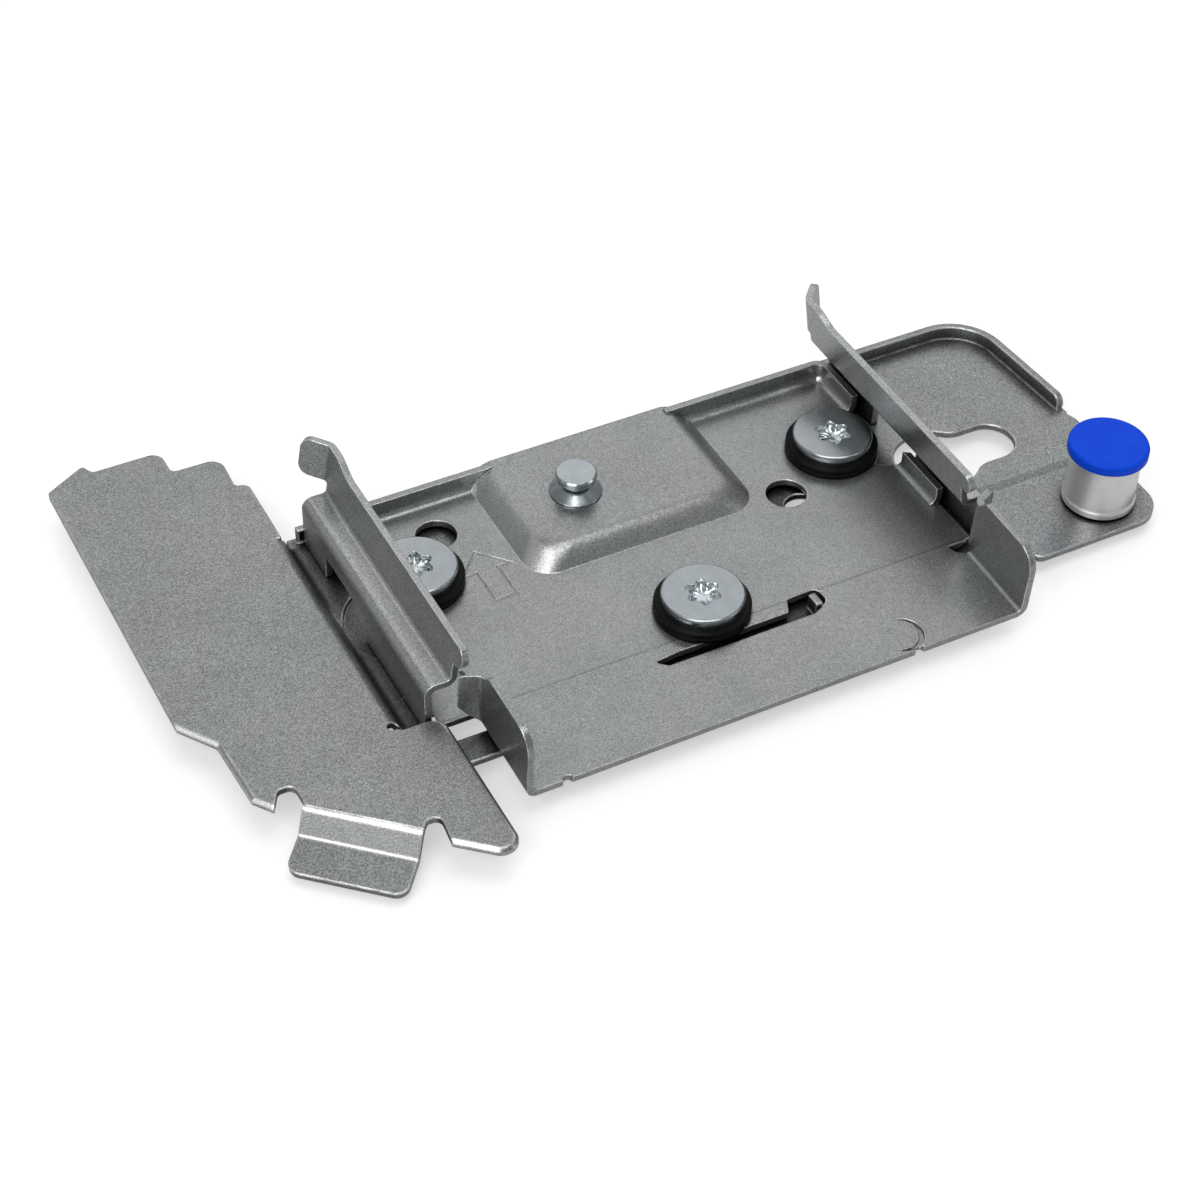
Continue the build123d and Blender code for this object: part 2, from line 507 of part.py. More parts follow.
def grommet(x, y):
    r = SHOULDER_R + HOLE_CLEAR
    h = GROMMET_H
    return turned(x, y, ((r, BASE_TOP), (GROMMET_FOOT_R, BASE_TOP), (GROMMET_FOOT_R, -SHEET),
                         (GROMMET_NECK_R, -SHEET), (GROMMET_NECK_R, 0), (GROMMET_R - 0.15, 0),
                         (GROMMET_R, 0.15), (GROMMET_R, h * 0.36), (GROMMET_R - 0.2, h * 0.44),
                         (GROMMET_R - 0.2, h * 0.5), (GROMMET_R, h * 0.58), (GROMMET_R, h - 0.2),
                         (GROMMET_R - 0.2, h), (r, h)))


def shoulder_screw(x, y):
    h = GROMMET_H
    end = BASE_TOP - THREAD_END
    body = turned(x, y, ((0, end), (THREAD_R - 0.3, end), (THREAD_R, end + 0.3), (THREAD_R, BASE_TOP),
                         (SHOULDER_R, BASE_TOP), (SHOULDER_R, h), (HEAD_R, h), (HEAD_R, h + HEAD_H - 0.45),
                         (HEAD_R - 0.12, h + HEAD_H - 0.2), (HEAD_R - 0.4, h + HEAD_H - 0.06),
                         (HEAD_R - 0.9, h + HEAD_H), (0, h + HEAD_H)))
    lobe = LOBE_R * 0.27
    star = Circle(LOBE_R * 0.78)
    for k in range(6):
        star += Rot(0, 0, 60 * k + 12) * Pos(LOBE_R - lobe, 0) * Circle(lobe)
    return body - Pos(x, y, h + HEAD_H - LOBE_DEPTH) * extrude(star, LOBE_DEPTH + 1)


def clinch_nut(x, y):
    b = BASE_BOTTOM
    r = THREAD_R + HOLE_CLEAR
    return turned(x, y, ((r, b - NUT_H), (NUT_R - 0.25, b - NUT_H), (NUT_R, b - NUT_H + 0.25), (NUT_R, b),
                         (NUT_PILOT_R, b), (NUT_PILOT_R, BASE_TOP), (r, BASE_TOP)))


def guide_stud():
    under = PLAT_H - SHEET
    top = PLAT_H + STUD_H
    neck = STUD_NECK_R
    return turned(STUD_X, STUD_Y, (
        (0, under - 0.35), (neck + 0.5, under - 0.35), (neck + 0.7, under), (neck + 0.1, under),
        (neck + 0.1, PLAT_H), (STUD_COLLAR_R, PLAT_H), (STUD_COLLAR_R, PLAT_H + 0.2),
        (neck + 0.35, PLAT_H + 1.05), (neck, PLAT_H + 1.15), (neck, top - STUD_HEAD_T),
        (STUD_HEAD_R, top - STUD_HEAD_T), (STUD_HEAD_R, top - 0.2), (STUD_HEAD_R - 0.2, top), (0, top)))


def plunger_ferrule():
    seat = BASE_TOP - BASE_STEP
    low = seat - SHEET
    lip = low - FERRULE_LIP
    pin = PIN_R + HOLE_CLEAR
    return turned(PLUNGER_X, PLUNGER_Y, (
        (pin, lip), (SEAT_R + 0.5, lip), (SEAT_R + 0.5, low), (SEAT_R, low), (SEAT_R, seat),
        (FERRULE_R + 0.3, seat), (FERRULE_R + 0.3, seat + 0.4), (FERRULE_R, seat + 0.4),
        (FERRULE_R, FERRULE_TOP - 0.3), (FERRULE_R - 0.3, FERRULE_TOP), (PIN_STEM_R + HOLE_CLEAR, FERRULE_TOP),
        (PIN_STEM_R + HOLE_CLEAR, FERRULE_TOP - FERRULE_LID), (FERRULE_BORE_R, FERRULE_TOP - FERRULE_LID),
        (FERRULE_BORE_R, seat + 0.4), (pin, seat + 0.4)))


def plunger_pin():
    low = BASE_TOP - BASE_STEP + 0.5
    step = PIN_TIP_Z + PIN_NOSE + PIN_TIP_L
    return turned(PLUNGER_X, PLUNGER_Y, (
        (0, PIN_TIP_Z), (PIN_TIP_R - PIN_NOSE, PIN_TIP_Z), (PIN_TIP_R, PIN_TIP_Z + PIN_NOSE),
        (PIN_TIP_R, step), (PIN_R, step + 0.1), (PIN_R, low), (PIN_COLLAR_R, low),
        (PIN_COLLAR_R, low + PIN_COLLAR_H), (PIN_STEM_R, low + PIN_COLLAR_H), (PIN_STEM_R, KNOB_TOP - 0.1),
        (0, KNOB_TOP - 0.1)))


def plunger_spring():
    low = BASE_TOP - BASE_STEP + 0.5 + PIN_COLLAR_H + SPRING_WIRE / 2 + 0.02
    high = FERRULE_TOP - FERRULE_LID - SPRING_WIRE / 2 - 0.02
    r = (PIN_STEM_R + FERRULE_BORE_R) / 2
    path = Helix((high - low) / SPRING_TURNS, high - low, r)
    section = (path ^ 0) * Circle(SPRING_WIRE / 2)
    return Pos(PLUNGER_X, PLUNGER_Y, low) * sweep(section, path, is_frenet=True)


def plunger_knob():
    low = BASE_TOP - BASE_STEP + 0.2
    web = KNOB_TOP - KNOB_WEB
    return turned(PLUNGER_X, PLUNGER_Y, (
        (KNOB_BORE_R, low), (KNOB_R - 0.2, low), (KNOB_R, low + 0.2), (KNOB_R, KNOB_TOP),
        (PIN_STEM_R, KNOB_TOP), (PIN_STEM_R, web), (KNOB_BORE_R, web)))


def plunger_cap():
    top = KNOB_TOP + CAP_H
    return turned(PLUNGER_X, PLUNGER_Y, (
        (0, KNOB_TOP), (CAP_R, KNOB_TOP), (CAP_R, top - 0.35), (CAP_R - 0.1, top - 0.12),
        (CAP_R - 0.35, top), (0, top)))


def main():
    nodes = {
        "deck_plate": deck_plate(),
        "base_plate": base_plate(),
        "left_rail": rail(-1),
        "right_rail": rail(1),
        "shoulder_screws": Compound([shoulder_screw(x, y) for _, x, y in SCREWS]),
        "clinch_nuts": Compound([clinch_nut(x, y) for _, x, y in SCREWS]),
        "guide_stud": guide_stud(),
        "plunger_ferrule": plunger_ferrule(),
        "plunger_pin": plunger_pin(),
        "plunger_spring": plunger_spring(),
        "plunger_knob": plunger_knob(),
        "plunger_cap": plunger_cap(),
    }
    for name, x, y in SCREWS:
        nodes["grommet_" + name] = grommet(x, y)
    os.makedirs("parts", exist_ok=True)
    for name, shape in nodes.items():
        export_step(shape, "parts/" + name + ".step")


main()
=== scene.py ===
import json
import math

import bpy
from mathutils import Matrix, Vector


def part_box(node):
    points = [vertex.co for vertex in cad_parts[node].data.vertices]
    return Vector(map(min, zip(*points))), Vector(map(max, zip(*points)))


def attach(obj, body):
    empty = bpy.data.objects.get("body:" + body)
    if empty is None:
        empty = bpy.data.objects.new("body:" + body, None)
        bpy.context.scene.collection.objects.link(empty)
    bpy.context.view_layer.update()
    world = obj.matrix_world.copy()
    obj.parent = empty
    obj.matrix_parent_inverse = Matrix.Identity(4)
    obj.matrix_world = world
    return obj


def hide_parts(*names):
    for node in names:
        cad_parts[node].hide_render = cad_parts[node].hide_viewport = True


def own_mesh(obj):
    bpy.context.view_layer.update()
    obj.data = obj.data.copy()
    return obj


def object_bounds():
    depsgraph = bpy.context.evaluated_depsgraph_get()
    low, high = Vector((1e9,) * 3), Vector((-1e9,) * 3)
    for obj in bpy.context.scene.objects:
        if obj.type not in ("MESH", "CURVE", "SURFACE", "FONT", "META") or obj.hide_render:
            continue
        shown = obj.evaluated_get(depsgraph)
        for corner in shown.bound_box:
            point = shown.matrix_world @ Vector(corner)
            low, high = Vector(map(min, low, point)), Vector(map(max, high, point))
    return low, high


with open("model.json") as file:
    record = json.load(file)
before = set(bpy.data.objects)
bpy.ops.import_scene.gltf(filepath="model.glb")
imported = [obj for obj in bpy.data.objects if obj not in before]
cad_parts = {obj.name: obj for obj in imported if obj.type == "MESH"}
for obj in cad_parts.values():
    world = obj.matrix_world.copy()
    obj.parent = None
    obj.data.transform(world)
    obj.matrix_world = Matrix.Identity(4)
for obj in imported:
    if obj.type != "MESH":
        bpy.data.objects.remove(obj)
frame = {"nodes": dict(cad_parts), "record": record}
cad_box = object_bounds()

MM_PER_M = 1000.0  # pieces and textures are written in mm, the scene is in m


# Node helpers

def new_material(name):
    material = bpy.data.materials.new(name)
    material.use_nodes = True
    material.node_tree.nodes.clear()
    return material, material.node_tree


def plug(tree, socket, value):
    """Set a constant on a socket, or link an output to it."""
    if isinstance(value, (int, float, tuple)):
        socket.default_value = value
    else:
        tree.links.new(value, socket)


def math_node(tree, op, a, b=None, clamp=False):
    node = tree.nodes.new("ShaderNodeMath")
    node.operation = op
    node.use_clamp = clamp
    plug(tree, node.inputs[0], a)
    if b is not None:
        plug(tree, node.inputs[1], b)
    return node.outputs[0]


def times(tree, first, *others):
    for other in others:
        first = math_node(tree, "MULTIPLY", first, other)
    return first


def remap(tree, value, low, high, at_low, at_high):
    """Clamped straight line: at_low where value is low, at_high where it is high."""
    node = tree.nodes.new("ShaderNodeMapRange")
    tree.links.new(value, node.inputs["Value"])
    for key, v in zip(("From Min", "From Max", "To Min", "To Max"), (low, high, at_low, at_high)):
        node.inputs[key].default_value = v
    return node.outputs[0]


def spread(tree, fac, at_low, at_high):
    """A noise, which keeps mostly between 0.3 and 0.7, spread from at_low to at_high."""
    return remap(tree, fac, 0.3, 0.7, at_low, at_high)


def mix(tree, fac, a, b, blend="MIX"):
    node = tree.nodes.new("ShaderNodeMix")
    node.data_type = "RGBA"
    node.blend_type = blend
    for key, kind, value in (("Factor", "VALUE", fac), ("A", "RGBA", a), ("B", "RGBA", b)):
        plug(tree, next(s for s in node.inputs if s.name == key and s.type == kind), value)
    return next(s for s in node.outputs if s.type == "RGBA")


def millimetres(tree):
    """Object coordinates in millimetres."""
    coord = tree.nodes.new("ShaderNodeTexCoord")
    scale = tree.nodes.new("ShaderNodeVectorMath")
    scale.operation = "SCALE"
    scale.inputs["Scale"].default_value = MM_PER_M
    tree.links.new(coord.outputs["Object"], scale.inputs[0])
    return scale.outputs[0]


def distance_from(tree, value, place):
    return math_node(tree, "ABSOLUTE", math_node(tree, "SUBTRACT", value, place))


def noise(tree, where, per_mm, detail=2.0, rough=0.5):
    node = tree.nodes.new("ShaderNodeTexNoise")
    tree.links.new(where, node.inputs["Vector"])
    node.inputs["Scale"].default_value = per_mm
    node.inputs["Detail"].default_value = detail
    node.inputs["Roughness"].default_value = rough
    return node.outputs["Fac"]


def cells(tree, where, per_mm):
    """Two unrelated random values for each small cell."""
    voronoi = tree.nodes.new("ShaderNodeTexVoronoi")
    tree.links.new(where, voronoi.inputs["Vector"])
    voronoi.inputs["Scale"].default_value = per_mm
    split = tree.nodes.new("ShaderNodeSeparateColor")
    tree.links.new(voronoi.outputs["Color"], split.inputs[0])
    return split.outputs[0], split.outputs[1]


def grey(v, tint=(1.0, 1.0, 1.0)):
    return tuple(v * t for t in tint) + (1.0,)


def rounded_normal(tree, radius_mm):
    """Normal that turns gently round sharp edges."""
    bevel = tree.nodes.new("ShaderNodeBevel")
    bevel.samples = 6
    bevel.inputs["Radius"].default_value = radius_mm / MM_PER_M
    return bevel.outputs[0]


def along_normal(tree, direction):
    """Dot product of a direction and the true normal."""
    geometry = tree.nodes.new("ShaderNodeNewGeometry")
    dot = tree.nodes.new("ShaderNodeVectorMath")
    dot.operation = "DOT_PRODUCT"
    plug(tree, dot.inputs[0], direction)
    tree.links.new(geometry.outputs["Normal"], dot.inputs[1])
    return dot.outputs["Value"]


def crevice_shade(tree, reach_mm, low, high, floor):
    """Painted shade: the share of light that reaches a place, 1 in the open, down to floor in narrow gaps;
    colours are multiplied by it.
    """
    ao = tree.nodes.new("ShaderNodeAmbientOcclusion")
    ao.samples = 8
    ao.inputs["Distance"].default_value = reach_mm / MM_PER_M
    return remap(tree, ao.outputs["AO"], low, high, floor, 1.0)


def finish_bsdf(tree, colour, rough, metallic, normal, bumps, specular=0.5):
    """Principled surface; bumps are (height, strength, distance in mm), laid over normal in turn."""
    bsdf = tree.nodes.new("ShaderNodeBsdfPrincipled")
    out = tree.nodes.new("ShaderNodeOutputMaterial")
    tree.links.new(bsdf.outputs[0], out.inputs[0])
    for key, value in (("Base Color", colour), ("Roughness", rough), ("Metallic", metallic)):
        plug(tree, bsdf.inputs[key], value)
    bsdf.inputs["Specular IOR Level"].default_value = specular
    for height, strength, distance_mm in bumps:
        bump = tree.nodes.new("ShaderNodeBump")
        bump.inputs["Strength"].default_value = strength
        bump.inputs["Distance"].default_value = distance_mm / MM_PER_M
        tree.links.new(height, bump.inputs["Height"])
        if normal is not None:
            tree.links.new(normal, bump.inputs["Normal"])
        normal = bump.outputs[0]
    tree.links.new(normal, bsdf.inputs["Normal"])


# Materials

FOLD_Y = -3.0  # the tray is folded down from the deck along this line
SHADY_X, SHADY_HALF_X, SHADY_Z = 6.0, 19.0, -1.2  # low part of the base below float slot and sight hole, which is given painted shade
COOL_ZINC, DUSTY_ZINC = (0.965, 1.0, 0.985, 1.0), (0.985, 0.985, 0.955, 1.0)
KEY_HIGHLIGHT_WAY = tuple(Vector((-0.60, -0.38, 0.70)).normalized())  # faces turned this way, towards the key light, get a painted highlight
HIGHLIGHT_AND_WEAR_LIFT, HIGHLIGHT_AND_WEAR_COVER, HIGHLIGHT_AND_WEAR_GREY, WORN_POLISH = 0.5, 0.85, 0.95, 0.08  # edges and faces with painted highlight, and edges with some wear: lighter and smoother
ZINC_METALLIC = 0.86
PLATED_TINT, STUD_TINT, NUT_TINT = (0.90, 0.97, 1.0), (0.88, 0.96, 1.0), (1.0, 1.0, 0.98)
WHITE = (1.0, 1.0, 1.0)
BLUE_DEEP, BLUE_LIGHT = (0.002, 0.060, 0.70, 1.0), (0.003, 0.076, 0.80, 1.0)


def fold_shade_line(tree, mm):
    """Painted shade: a darker line where the tray is folded down from the deck."""
    split = tree.nodes.new("ShaderNodeSeparateXYZ")
    tree.links.new(mm, split.inputs[0])
    return remap(tree, distance_from(tree, split.outputs[1], FOLD_Y), 0.05, 0.22, 0.70, 1.0)


def shade_under_deck(tree, mm):
    """Painted shade: the base sheet is made darker below the float slot and the right sight hole, where the
    deck above shades it.
    """
    split = tree.nodes.new("ShaderNodeSeparateXYZ")
    tree.links.new(mm, split.inputs[0])
    off_middle = distance_from(tree, split.outputs[0], SHADY_X)
    beside = remap(tree, off_middle, SHADY_HALF_X, SHADY_HALF_X + 1.0, 0.30, 1.0)
    above = remap(tree, split.outputs[2], SHADY_Z, SHADY_Z + 0.2, 0.0, 1.0)
    return math_node(tree, "MAXIMUM", beside, above)


def galvanised(name, base, grain, rough, grain_mm, edge_mm=0.22, full=0.90,
               shade=(8.0, 0.06, 0.46), marks=()):
    """Zinc coated sheet: fine sparkle, soft clouds and stains, edges made bright by wear and painted
    highlight, painted highlight on faces turned to the key light, painted shade in corners and grooves.

    full is the turn of the rounded normal at which an edge is fully bright, shade how far the painted shade
    of its corners reaches and between which light levels it darkens, marks the functions that paint shade
    on this sheet only.
    """
    material, t = new_material(name)
    mm = millimetres(t)
    fine = noise(t, mm, 1.0 / grain_mm, 2.5, 0.65)
    spark, tilt = cells(t, mm, 1.2 / grain_mm)
    clouds = noise(t, mm, 0.10, 3.0, 0.55)
    stains = noise(t, mm, 0.9, 4.0, 0.6)
    # Painted shade: fine grooves and creases are darkened, and kept free of the edge highlight
    groove = crevice_shade(t, reach_mm=0.4, low=0.50, high=0.85, floor=0.25)
    # Grain, clouds and stains, times painted shade in corners, in grooves and from the marks
    level = times(t, spread(t, fine, 1.0 - grain, 1.0 + grain),
                  remap(t, spark, 0.0, 1.0, 1.0 - grain, 1.0 + grain),
                  spread(t, clouds, 0.93, 1.07), spread(t, stains, 0.96, 1.04),
                  crevice_shade(t, *shade, floor=0.06), groove, *(mark(t, mm) for mark in marks))
    # Edges are lighter, partly by real wear and partly as painted highlight; faces towards the key light
    # get a painted highlight too
    rounded = rounded_normal(t, edge_mm)
    edges = remap(t, along_normal(t, rounded), 0.998, full, 0.0, 1.0)
    chafed_and_highlit = times(t, edges, remap(t, noise(t, mm, 0.7, 3.0), 0.35, 0.6, 0.35, 1.0))
    key_highlight = remap(t, along_normal(t, KEY_HIGHLIGHT_WAY), 0.90, 0.99, 0.0, 0.8)
    worn_and_highlit = times(t, math_node(t, "MAXIMUM", chafed_and_highlit, key_highlight), groove)
    level = math_node(t, "ADD", level, times(t, worn_and_highlit, HIGHLIGHT_AND_WEAR_LIFT))
    dust = remap(t, noise(t, mm, 0.06, 3.0, 0.6), 0.48, 0.70, 0.0, 1.0)
    colour = mix(t, 1.0, mix(t, dust, COOL_ZINC, DUSTY_ZINC), level, "MULTIPLY")
    colour = mix(t, 1.0, colour, grey(base), "MULTIPLY")
    colour = mix(t, times(t, worn_and_highlit, HIGHLIGHT_AND_WEAR_COVER), colour, grey(HIGHLIGHT_AND_WEAR_GREY))
    uneven = spread(t, fine, rough - 0.06, rough + 0.06)
    roughness = math_node(t, "SUBTRACT", uneven, times(t, worn_and_highlit, WORN_POLISH), clamp=True)
    finish_bsdf(t, colour, roughness, ZINC_METALLIC, rounded,
                ((tilt, 0.30, 0.012), (fine, 0.40, 0.02), (clouds, 0.25, 0.25)))
    return material


def bright_zinc(name, base, rough, tint):
    """Smooth plated hardware with faint smears, painted shade in recesses, painted highlight on edges, and
    painted glints where the mesh has the attribute recess.
    """
    material, t = new_material(name)
    mm = millimetres(t)
    smear = noise(t, mm, 0.55, 4.0, 0.6)
    fine = noise(t, mm, 6.0, 2.0)
    # Painted shade: recesses and narrow gaps are made darker
    level = times(t, spread(t, smear, 0.90, 1.06), spread(t, fine, 0.93, 1.07),
                  crevice_shade(t, reach_mm=1.2, low=0.1, high=0.5, floor=0.75))
    rounded = rounded_normal(t, 0.12)
    # Painted highlight: rounded edges are made lighter
    edges = remap(t, along_normal(t, rounded), 0.995, 0.80, 0.0, 1.0)
    level = math_node(t, "ADD", level, times(t, edges, 0.25))
    # Painted glints inside the recess of the screw heads
    recess = t.nodes.new("ShaderNodeAttribute")
    recess.attribute_name = "recess"
    glint = remap(t, noise(t, mm, 1.8, 3.0, 0.8), 0.42, 0.55, 0.0, 1.0)
    level = math_node(t, "ADD", level, times(t, recess.outputs["Fac"], glint))
    colour = mix(t, 1.0, grey(base, tint), level, "MULTIPLY")
    finish_bsdf(t, colour, spread(t, smear, rough - 0.04, rough + 0.06), 1.0, rounded,
                ((fine, 0.10, 0.01), (smear, 0.12, 0.06)))
    return material


def rubber(name):
    """Black rubber with a little dust."""
    material, t = new_material(name)
    mm = millimetres(t)
    dust = noise(t, mm, 1.4, 4.0, 0.6)
    fine = noise(t, mm, 8.0, 2.0)
    colour = mix(t, remap(t, dust, 0.5, 0.8, 0.0, 0.5), grey(0.0025), grey(0.012))
    finish_bsdf(t, colour, spread(t, dust, 0.42, 0.55), 0.0, None, ((fine, 0.2, 0.02),), specular=0.14)
    return material


def knob_silver(name):
    """Satin silver of the plunger's knob."""
    material, t = new_material(name)
    mm = millimetres(t)
    fine = noise(t, mm, 5.0, 3.0, 0.6)
    patch = noise(t, mm, 0.5, 3.0)
    level = times(t, spread(t, fine, 0.94, 1.06), spread(t, patch, 0.96, 1.04))
    colour = mix(t, 1.0, grey(0.86), level, "MULTIPLY")
    finish_bsdf(t, colour, spread(t, fine, 0.30, 0.40), 0.8, rounded_normal(t, 0.15), ((fine, 0.2, 0.015),))
    return material


def blue_plastic(name):
    """Matt blue of the plunger's cap."""
    material, t = new_material(name)
    mm = millimetres(t)
    fine = noise(t, mm, 5.0, 2.0)
    patch = noise(t, mm, 0.35, 3.0)
    colour = mix(t, spread(t, patch, 0.0, 1.0), BLUE_DEEP, BLUE_LIGHT)
    finish_bsdf(t, colour, spread(t, fine, 0.36, 0.48), 0.0, rounded_normal(t, 0.2), ((fine, 0.25, 0.02),),
                specular=0.10)
    return material


MATERIALS = {
    "deck_steel": galvanised("deck_steel", base=0.36, grain=0.28, rough=0.30, grain_mm=0.13,
                             marks=(fold_shade_line,)),
    "base_steel": galvanised("base_steel", base=0.32, grain=0.38, rough=0.31, grain_mm=0.14, edge_mm=0.40,
                             full=0.95, shade=(4.0, 0.30, 0.85), marks=(shade_under_deck,)),
    "rail_steel": galvanised("rail_steel", base=0.44, grain=0.28, rough=0.28, grain_mm=0.13),
    "zinc_screw": bright_zinc("zinc_screw", base=0.46, rough=0.22, tint=PLATED_TINT),
    "nut_steel": bright_zinc("nut_steel", base=0.55, rough=0.3, tint=NUT_TINT),
    "zinc_stud": bright_zinc("zinc_stud", base=0.52, rough=0.18, tint=STUD_TINT),
    "pin_steel": bright_zinc("pin_steel", base=0.6, rough=0.25, tint=WHITE),
    "spring_steel": bright_zinc("spring_steel", base=0.5, rough=0.3, tint=WHITE),
    "knob_metal": knob_silver("knob_metal"),
    "blue_plastic": blue_plastic("blue_plastic"),
    "rubber": rubber("rubber"),
}

for part in frame["record"]["subparts"]:
    obj = frame["nodes"][part["node"]]
    obj.data.materials.clear()
    obj.data.materials.append(MATERIALS[part["material_slot"]])


# Mesh helpers

def put(name, data):
    """New object in the scene."""
    obj = bpy.data.objects.new(name, data)
    bpy.context.scene.collection.objects.link(obj)
    return obj


def dress(obj, node, body, slot):
    """obj stands for a CAD node, in the finish of its slot."""
    obj.data.materials.clear()
    obj.data.materials.append(MATERIALS[slot])
    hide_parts(node)
    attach(obj, body)


def box_mm(node):
    """Lowest and highest corner of a CAD node in mm, and the point midway."""
    low, high = ([v * MM_PER_M for v in corner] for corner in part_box(node))
    return low, high, [(a + b) / 2 for a, b in zip(low, high)]


def turned(name, x, y, loops, hubs=()):
    """Piece of bands between loops of (radius, height) in mm about the upright line through (x, y).

    It is smooth around and crisp between bands. hubs are the heights of the middles of its closed ends.
    """
    steps = len(loops[0])
    verts, faces = [], []
    for inner, outer in zip(loops, loops[1:]):
        first = len(verts)
        for k, band in enumerate(zip(inner, outer)):
            turn = 2 * math.pi * k / steps
            for r, z in band:
                verts.append((x + r * math.cos(turn), y + r * math.sin(turn), z))
        for k in range(steps):
            a, b = first + 2 * k, first + 2 * ((k + 1) % steps)
            faces.append((a, b, b + 1, a + 1))
    # Fans close the first and the last loop, and the first one is wound the other way round
    for hub, rim, way in zip(hubs, (0, first + 1), (-1, 1)):
        for k in range(steps):
            a, b = rim + 2 * k, rim + 2 * ((k + 1) % steps)
            faces.append((len(verts), a, b)[::way])
        verts.append((x, y, hub))
    mesh = bpy.data.meshes.new(name)
    mesh.from_pydata([[v / MM_PER_M for v in vert] for vert in verts], [], faces)
    mesh.shade_smooth()
    return put(name, mesh)


# The knob, a little narrower than its CAD node, with a band round its foot

KNOB_R, KNOB_FOOT_R, KNOB_BORE_R, PIN_BORE_R = 4.1, 4.3, 3.6, 1.0
BAND_RISE, BAND_TOP, BAND_END = 0.2, 0.8, 1.1  # heights of the band above the knob's foot
KNOB_TOP_T, KNOB_STEPS = 1.0, 96

(_, _, low), (_, _, high), (x, y, _) = box_mm("plunger_knob")
profile = [(KNOB_BORE_R, low), (KNOB_R, low), (KNOB_FOOT_R, low + BAND_RISE), (KNOB_FOOT_R, low + BAND_TOP),
           (KNOB_R, low + BAND_END), (KNOB_R, high), (PIN_BORE_R, high), (PIN_BORE_R, high - KNOB_TOP_T),
           (KNOB_BORE_R, high - KNOB_TOP_T)]
knob = turned("knob", x, y, [[point] * KNOB_STEPS for point in profile + profile[:1]])
dress(knob, "plunger_knob", "plunger", "knob_metal")


# The spring is a copy that stays with the bracket under the lid; it keeps its shape when the plunger rises

coil = put("coil", frame["nodes"]["plunger_spring"].data.copy())
dress(coil, "plunger_spring", "bracket", "spring_steel")
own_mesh(coil)


# Screw heads with a crisp flat top and a six-lobe recess

SHANK_R, SHANK_CHAMFER, SHOULDER_R, HEAD_R = 1.45, 0.3, 2.5, 4.7
HEAD_EDGE = ((0.0, 0.25), (0.08, 0.08), (0.22, 0.0))  # (inset, depth) round the top edge of the head
LOBES, LOBE_R, LOBE_WAVE, LOBE_TURN = 6, 1.82, 0.30, 0.21  # recess outline, LOBE_TURN in radians
RECESS_SIDE = ((1.0, 0.0), (0.93, 0.12), (0.86, 0.75))  # (share of the outline, depth) down the recess
RECESS_DEEP, RECESS_MOUTH = 0.80, 0.05
SCREW_STEPS = 120


def screw(name, grommet):
    """Head, shoulder and shank of the screw through one grommet, with the recess sunk into its flat top."""
    (_, _, tip), (_, _, top), _ = box_mm("shoulder_screws")
    (_, _, foot), (_, _, seat), (x, y, _) = box_mm(grommet)
    rings = [(SHANK_R - SHANK_CHAMFER, tip), (SHANK_R, tip + SHANK_CHAMFER), (SHANK_R, foot),
             (SHOULDER_R, foot), (SHOULDER_R, seat), (HEAD_R, seat)]
    rings += [(HEAD_R - inset, top - depth) for inset, depth in HEAD_EDGE]
    loops = [[ring] * SCREW_STEPS for ring in rings]
    turns = [2 * math.pi * k / SCREW_STEPS for k in range(SCREW_STEPS)]
    outline = [LOBE_R + LOBE_WAVE * math.cos(LOBES * (turn - LOBE_TURN)) for turn in turns]
    for share, depth in RECESS_SIDE:
        loops.append([(share * r, top - depth) for r in outline])
    obj = turned(name, x, y, loops, hubs=(tip, top - RECESS_DEEP))
    # Vertices inside the recess are marked for the painted glints of bright_zinc
    sunk = []
    for vertex in obj.data.vertices:
        place = vertex.co * MM_PER_M
        off_axis = math.hypot(place.x - x, place.y - y)
        sunk.append(float(off_axis < LOBE_R + LOBE_WAVE and seat < place.z < top - RECESS_MOUTH))
    obj.data.attributes.new("recess", "FLOAT", "POINT").data.foreach_set("value", sunk)
    return obj


for side in ("left", "centre", "right"):
    dress(screw("screw_" + side, "grommet_" + side), "shoulder_screws", "bracket", "zinc_screw")


# Stage: pale floor, soft light, the camera of the photograph

FLOOR_SIZE, FLOOR_GREY, FLOOR_GLOW, FLOOR_GAP = 8.0, 0.66, 0.50, 0.00002
SKY_COLOUR, SKY_STRENGTH = (0.95, 0.97, 1.0, 1.0), 0.28

bpy.ops.mesh.primitive_plane_add(size=FLOOR_SIZE, location=(0, 0, cad_box[0][2] - FLOOR_GAP))
floor = bpy.context.object
floor.name = "floor"
material, t = new_material("floor")
path = t.nodes.new("ShaderNodeLightPath")
diffuse = t.nodes.new("ShaderNodeBsdfDiffuse")
diffuse.inputs["Color"].default_value = grey(FLOOR_GREY)
glow = t.nodes.new("ShaderNodeEmission")
glow.inputs["Strength"].default_value = FLOOR_GLOW
black = t.nodes.new("ShaderNodeEmission")
black.inputs["Strength"].default_value = 0.0
pick = t.nodes.new("ShaderNodeMixShader")
add = t.nodes.new("ShaderNodeAddShader")
out = t.nodes.new("ShaderNodeOutputMaterial")
for source, target in ((path.outputs["Is Camera Ray"], pick.inputs[0]), (black.outputs[0], pick.inputs[1]),
                       (glow.outputs[0], pick.inputs[2]), (diffuse.outputs[0], add.inputs[0]),
                       (pick.outputs[0], add.inputs[1]), (add.outputs[0], out.inputs[0])):
    t.links.new(source, target)
floor.data.materials.append(material)

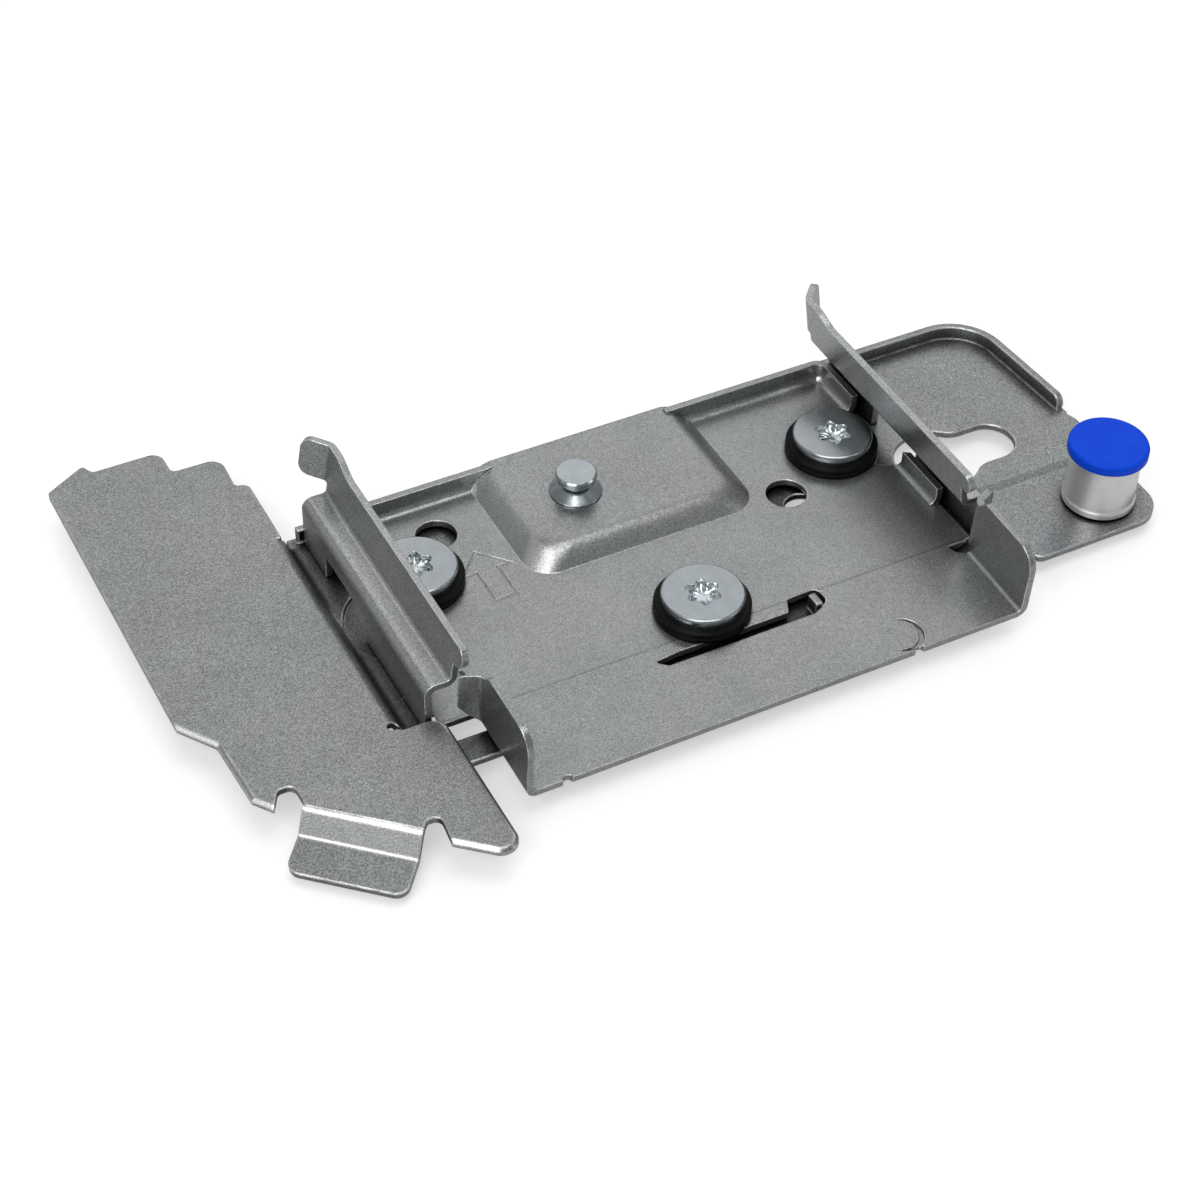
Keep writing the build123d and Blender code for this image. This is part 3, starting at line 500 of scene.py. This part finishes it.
world = bpy.data.worlds.new("studio")
bpy.context.scene.world = world
world.use_nodes = True
sky = world.node_tree.nodes["Background"]
sky.inputs["Color"].default_value = SKY_COLOUR
sky.inputs["Strength"].default_value = SKY_STRENGTH


def softbox(name, direction, distance, size, watts):
    """Rectangular soft light aimed at the object."""
    data = bpy.data.lights.new(name, "AREA")
    data.shape = "RECTANGLE"
    data.size, data.size_y = size
    data.energy = watts
    lamp = put(name, data)
    away = Vector(direction).normalized()
    lamp.location = away * distance
    lamp.rotation_euler = away.to_track_quat("Z", "Y").to_euler()


softbox("key", (-0.56, -0.40, 0.72), 0.8, (0.50, 0.36), 2.0)
softbox("top", (0.00, -0.10, 0.99), 0.9, (0.60, 0.50), 2.4)
softbox("back", (0.24, 0.70, 0.68), 1.0, (1.4, 0.8), 2.3)
softbox("right", (0.75, -0.45, 0.45), 0.9, (0.30, 0.30), 0.5)
softbox("left", (-0.90, 0.10, 0.40), 0.9, (0.40, 0.30), 0.4)

# Camera fitted to the photograph: azimuth, elevation and roll, place in m, focal length in photo pixels
CAM_AZ, CAM_EL, CAM_ROLL = math.radians(-29.0), math.radians(43.9), math.radians(2.05)
CAM_AT = (-0.105368, -0.166860, 0.190416)
FOCAL_PX, PHOTO_WIDTH_PX, SENSOR_MM = 2488.0, 1200.0, 36.0

away = Vector((math.sin(CAM_AZ) * math.cos(CAM_EL), -math.cos(CAM_AZ) * math.cos(CAM_EL), math.sin(CAM_EL)))
right = (-away).cross(Vector((0, 0, 1))).normalized()
up = right.cross(-away)
rolled_right = math.cos(CAM_ROLL) * right + math.sin(CAM_ROLL) * up
rolled_up = -math.sin(CAM_ROLL) * right + math.cos(CAM_ROLL) * up
lens = bpy.data.cameras.new("camera")
lens.sensor_fit = "HORIZONTAL"
lens.sensor_width = SENSOR_MM
lens.lens = FOCAL_PX * SENSOR_MM / PHOTO_WIDTH_PX
lens.clip_start = 0.01
camera = put("camera", lens)
pose = Matrix((rolled_right, rolled_up, away)).transposed().to_4x4()
pose.translation = Vector(CAM_AT)
camera.matrix_world = pose
bpy.context.scene.camera = camera
bpy.context.scene.view_settings.view_transform = "Standard"
